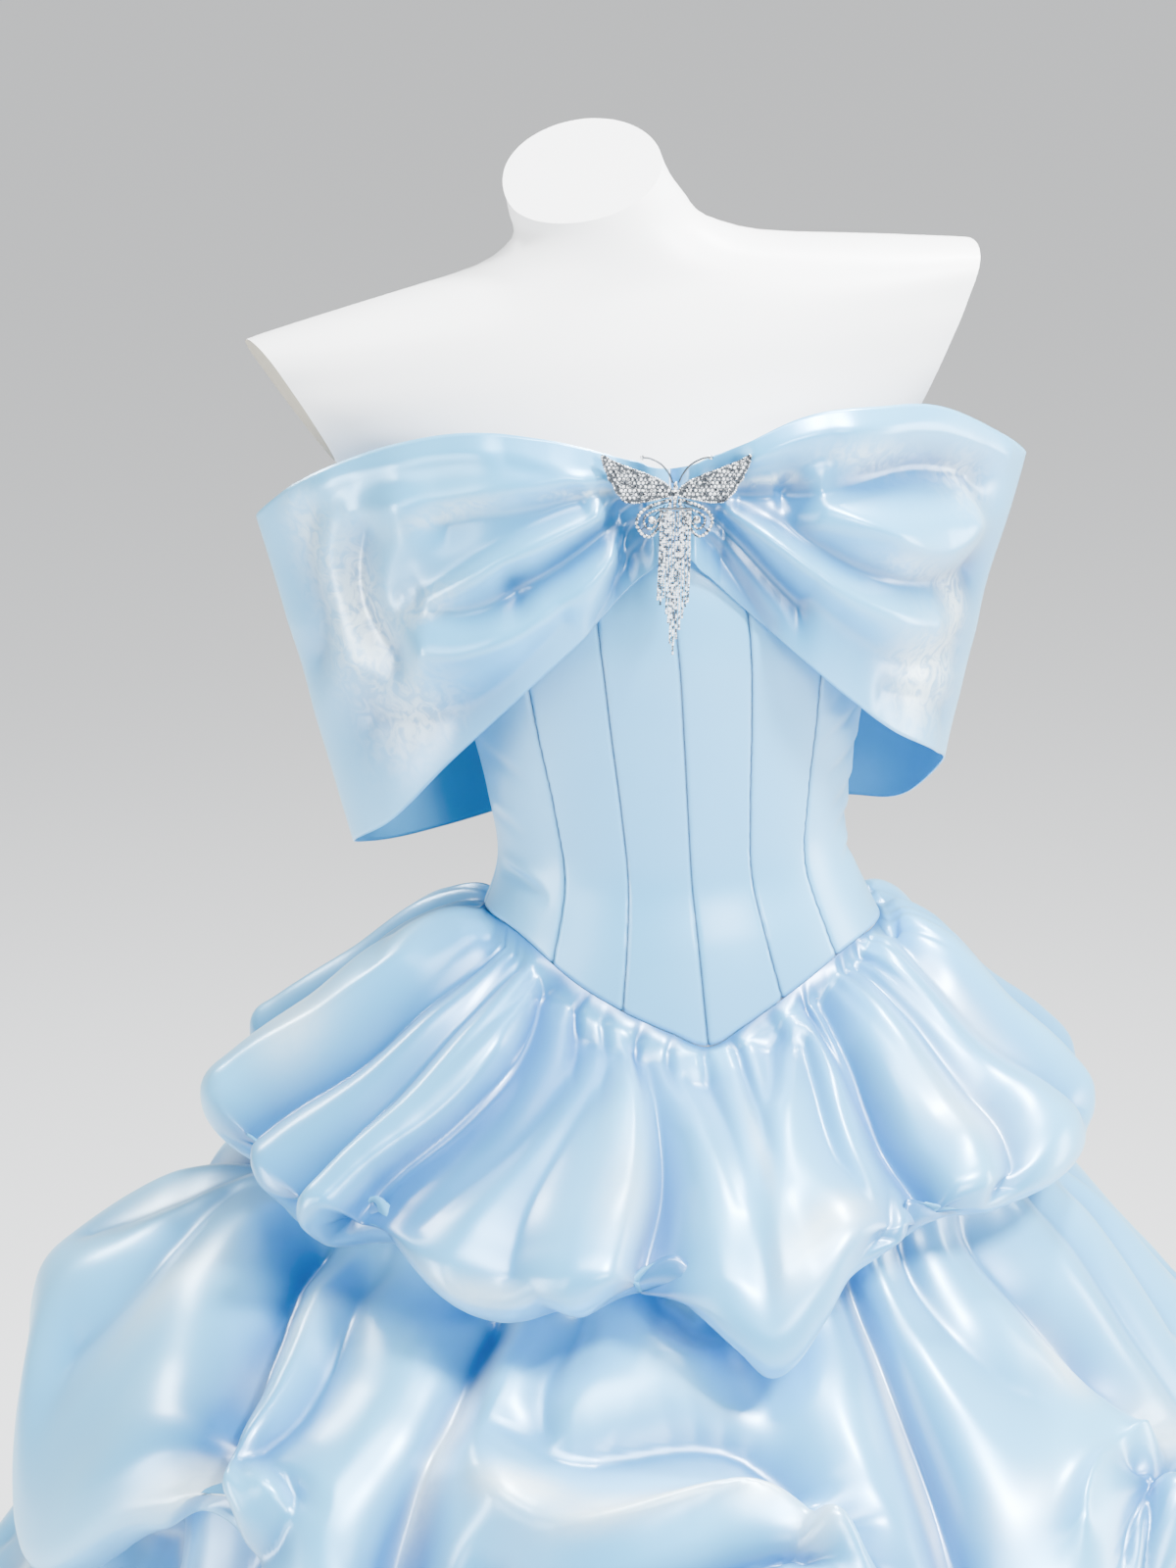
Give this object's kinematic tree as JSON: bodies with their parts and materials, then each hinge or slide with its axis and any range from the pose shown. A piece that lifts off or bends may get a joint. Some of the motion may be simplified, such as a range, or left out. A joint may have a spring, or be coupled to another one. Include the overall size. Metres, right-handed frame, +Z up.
{
  "type": "homecoming dress on a dress form",
  "caption": "Strapless ice-blue satin homecoming dress with a wide off-shoulder bow, butterfly brooch and tiered bubble skirt, on a limbless white dress form and steel stand.",
  "frame": {"origin": "centre of the underside of the round base, on the floor", "axes": "+Z up, the dress faces -Y, +X is to the right as seen from the front"},
  "size_m": [1.0792, 1.0804, 1.5569],
  "materials": {
    "ice_blue_satin": "glossy satin",
    "white_form_plastic": "semi-matte",
    "brushed_steel": "brushed",
    "crystal_silver": "polished, set with crystals"
  },
  "bodies": {
    "root": {"form_torso": "white_form_plastic", "form_base": "brushed_steel", "form_collar": "brushed_steel", "form_pole": "brushed_steel", "bodice_centre_back_left": "ice_blue_satin", "bodice_side_back_left": "ice_blue_satin", "bodice_side_left": "ice_blue_satin", "bodice_side_front_left": "ice_blue_satin", "bodice_centre_front_left": "ice_blue_satin", "bodice_centre_front_right": "ice_blue_satin", "bodice_side_front_right": "ice_blue_satin", "bodice_side_right": "ice_blue_satin", "bodice_side_back_right": "ice_blue_satin", "bodice_centre_back_right": "ice_blue_satin", "skirt_tier_1": "ice_blue_satin", "skirt_tier_2": "ice_blue_satin", "skirt_tier_3": "ice_blue_satin", "bow_loop_left": "ice_blue_satin", "bow_loop_right": "ice_blue_satin", "brooch_butterfly": "crystal_silver", "brooch_antenna_left": "crystal_silver", "brooch_antenna_right": "crystal_silver", "brooch_tassel": "crystal_silver"}
  },
  "joints": []
}
